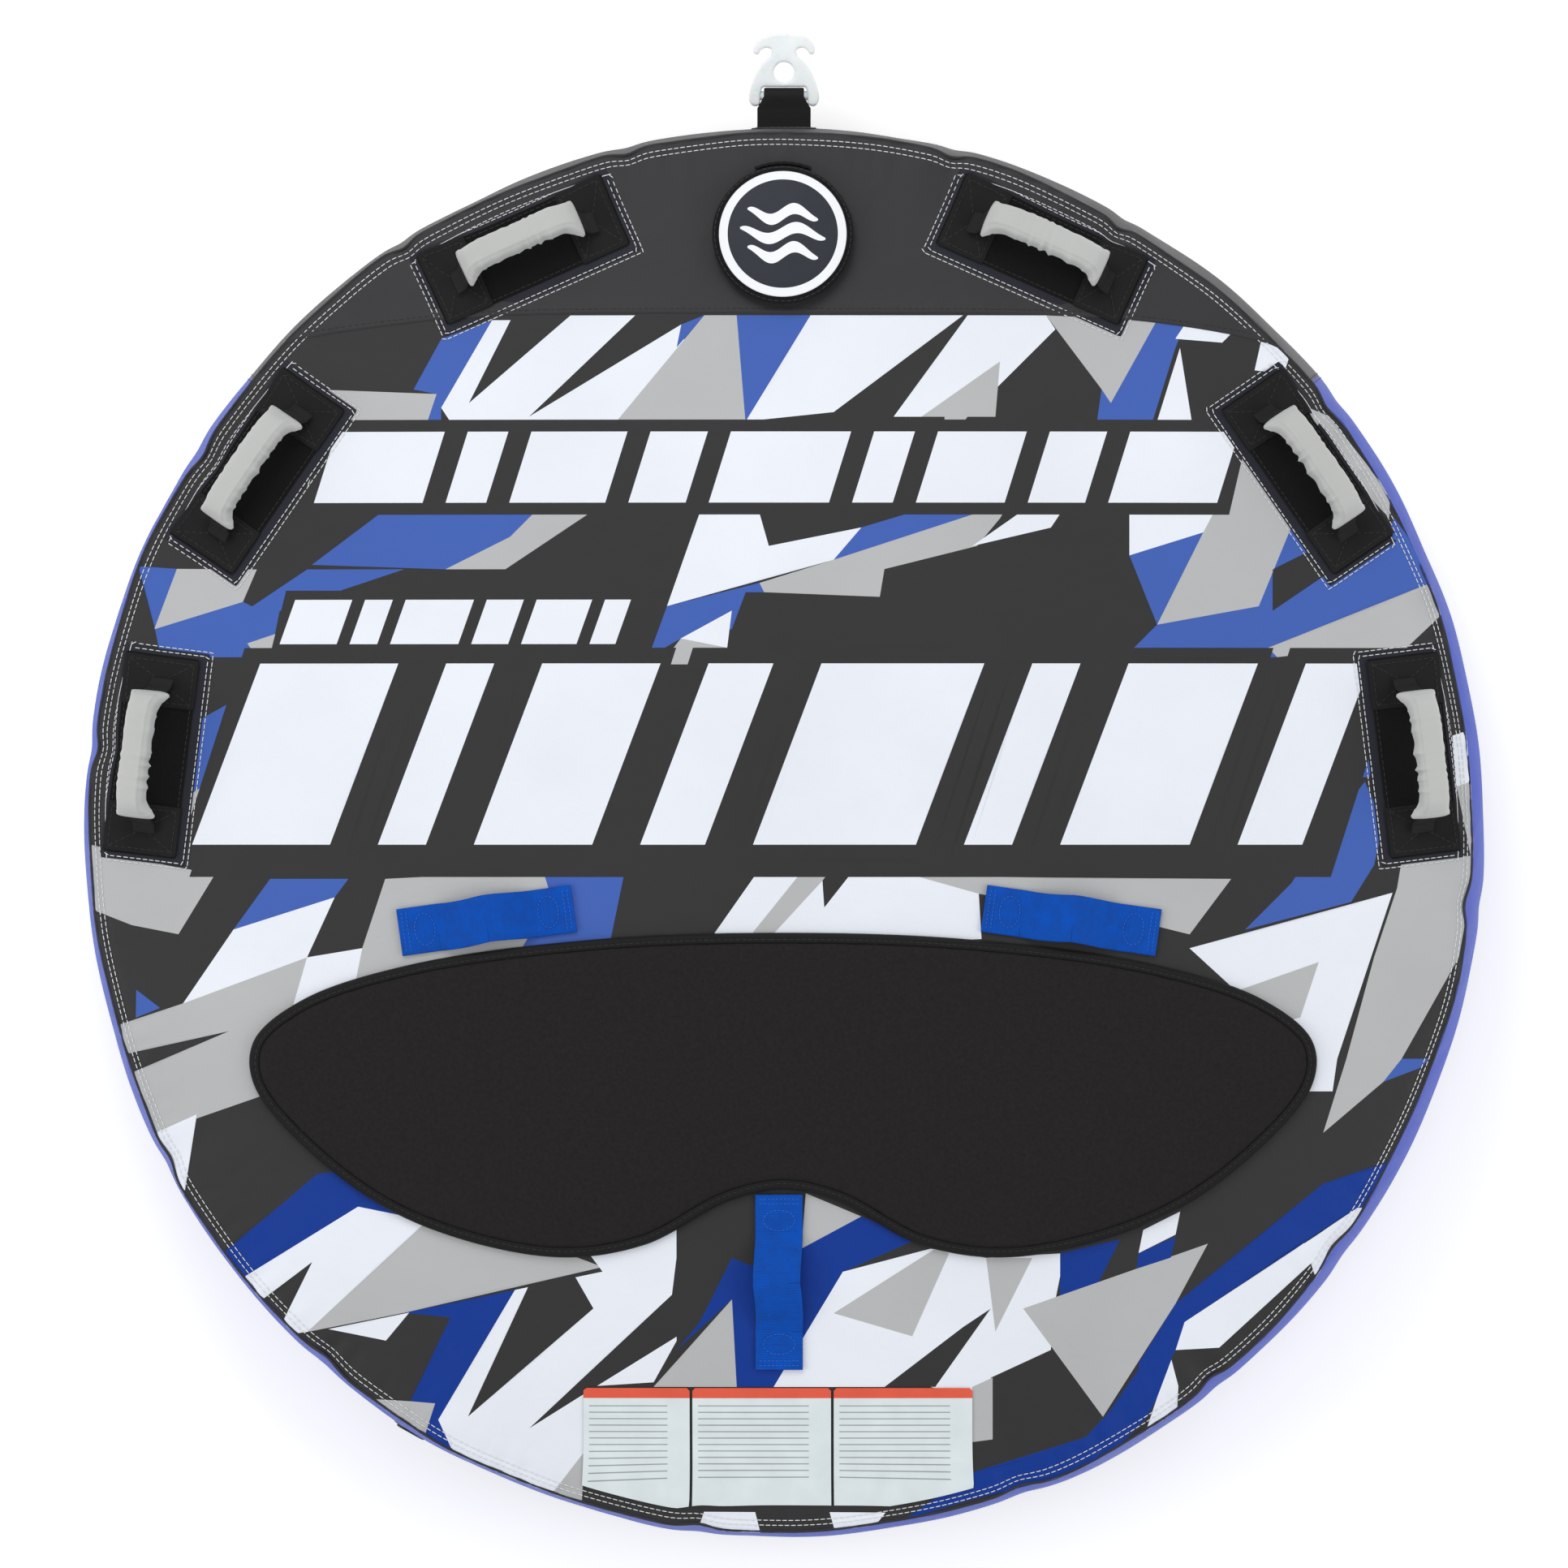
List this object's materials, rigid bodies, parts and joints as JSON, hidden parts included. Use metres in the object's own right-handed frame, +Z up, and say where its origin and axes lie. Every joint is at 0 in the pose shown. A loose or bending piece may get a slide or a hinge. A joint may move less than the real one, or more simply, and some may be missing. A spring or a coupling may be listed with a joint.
{
  "type": "towable tube",
  "caption": "Round fabric-covered inflatable towable tube with padded deck, sewn grab handles, valve flap and tow hook.",
  "frame": {"origin": "centre of the flat face that the tube rests on", "axes": "+Z up, +Y towards the tow point, +X to the right seen from above with the tow point ahead"},
  "size_m": [1.524, 1.633, 0.3138],
  "materials": {
    "cover_charcoal": "woven nylon, matt",
    "cover_print": "printed woven nylon",
    "band_royal": "woven nylon, matt",
    "underside": "coated woven nylon",
    "bladder_pvc": "smooth PVC",
    "neoprene": "mottled neoprene, matt",
    "foam": "closed-cell foam",
    "webbing_black": "woven webbing",
    "grip_grey": "soft woven sleeve over foam",
    "webbing_blue": "ribbed webbing",
    "nylon_clear": "translucent moulded nylon",
    "valve_plastic": "moulded",
    "badge_print": "printed vinyl",
    "zip_metal": "dark coated metal"
  },
  "bodies": {
    "cover": {"air_bladder": "bladder_pvc", "front_panel": "cover_charcoal", "deck_panel": "cover_print", "side_band_front": "cover_charcoal", "side_band_rear": "band_royal", "bottom_panel": "underside", "valve_body": "valve_plastic", "pad_foam": "foam", "body_pad": "neoprene", "pad_binding": "webbing_black", "grab_strap_left": "webbing_blue", "grab_strap_right": "webbing_blue", "boarding_strap": "webbing_blue", "tow_anchor": "webbing_black", "tow_backing": "webbing_black", "zip_tape": "webbing_black", "knuckle_guard_1": "neoprene", "handle_anchor_1a": "webbing_black", "handle_anchor_1b": "webbing_black", "knuckle_guard_2": "neoprene", "handle_anchor_2a": "webbing_black", "handle_anchor_2b": "webbing_black", "knuckle_guard_3": "neoprene", "handle_anchor_3a": "webbing_black", "handle_anchor_3b": "webbing_black", "knuckle_guard_4": "neoprene", "handle_anchor_4a": "webbing_black", "handle_anchor_4b": "webbing_black", "knuckle_guard_5": "neoprene", "handle_anchor_5a": "webbing_black", "handle_anchor_5b": "webbing_black", "knuckle_guard_6": "neoprene", "handle_anchor_6a": "webbing_black", "handle_anchor_6b": "webbing_black"},
    "tow_loop": {"tow_strap": "webbing_black"},
    "connector": {"tow_connector": "nylon_clear"},
    "flap": {"valve_flap": "webbing_black", "valve_badge": "badge_print"},
    "collar": {"valve_collar": "valve_plastic"},
    "zip_pull": {"zip_slider": "zip_metal"},
    "handle_1": {"handle_webbing_1": "webbing_black", "handle_grip_1": "grip_grey"},
    "handle_2": {"handle_webbing_2": "webbing_black", "handle_grip_2": "grip_grey"},
    "handle_3": {"handle_webbing_3": "webbing_black", "handle_grip_3": "grip_grey"},
    "handle_4": {"handle_webbing_4": "webbing_black", "handle_grip_4": "grip_grey"},
    "handle_5": {"handle_webbing_5": "webbing_black", "handle_grip_5": "grip_grey"},
    "handle_6": {"handle_webbing_6": "webbing_black", "handle_grip_6": "grip_grey"}
  },
  "joints": [
    {"name": "tow_loop_bend", "type": "hinge", "parent": "cover", "child": "tow_loop", "pos_m": [0, 0.77, 0.1425], "axis": [1, 0, 0], "range_deg": [-60, 60], "stiffness_Nm_per_rad": 1},
    {"name": "connector_pivot", "type": "hinge", "parent": "tow_loop", "child": "connector", "pos_m": [0, 0.803, 0.1425], "axis": [1, 0, 0], "range_deg": [-40, 40]},
    {"name": "flap_hinge", "type": "hinge", "parent": "cover", "child": "flap", "pos_m": [0, 0.7221, 0.2536], "axis": [-1, 0, 0], "range_deg": [0, 105]},
    {"name": "collar_turn", "type": "hinge", "parent": "cover", "child": "collar", "pos_m": [0, 0.645, 0.2623], "axis": [0, 0.1502, 0.9887], "range_deg": [0, 90]},
    {"name": "zip_travel", "type": "hinge", "parent": "cover", "child": "zip_pull", "pos_m": [0, 0, 0.09], "axis": [0, 0, 1], "range_deg": [0, 66]},
    {"name": "handle_1_lean", "type": "hinge", "parent": "cover", "child": "handle_1", "pos_m": [-0.6852, 0.0841, 0.2692], "axis": [0.1219, 0.9925, 0], "range_deg": [-23, 67], "stiffness_Nm_per_rad": 0.6},
    {"name": "handle_2_lean", "type": "hinge", "parent": "cover", "child": "handle_2", "pos_m": [-0.5689, 0.391, 0.2692], "axis": [0.5664, 0.8241, 0], "range_deg": [-23, 67], "stiffness_Nm_per_rad": 0.6},
    {"name": "handle_3_lean", "type": "hinge", "parent": "cover", "child": "handle_3", "pos_m": [-0.2808, 0.6306, 0.2692], "axis": [0.9135, 0.4067, 0], "range_deg": [-23, 67], "stiffness_Nm_per_rad": 0.6},
    {"name": "handle_4_lean", "type": "hinge", "parent": "cover", "child": "handle_4", "pos_m": [0.2808, 0.6306, 0.2692], "axis": [0.9135, -0.4067, 0], "range_deg": [-23, 67], "stiffness_Nm_per_rad": 0.6},
    {"name": "handle_5_lean", "type": "hinge", "parent": "cover", "child": "handle_5", "pos_m": [0.5689, 0.391, 0.2692], "axis": [0.5664, -0.8241, 0], "range_deg": [-23, 67], "stiffness_Nm_per_rad": 0.6},
    {"name": "handle_6_lean", "type": "hinge", "parent": "cover", "child": "handle_6", "pos_m": [0.6852, 0.0841, 0.2692], "axis": [0.1219, -0.9925, 0], "range_deg": [-23, 67], "stiffness_Nm_per_rad": 0.6}
  ]
}
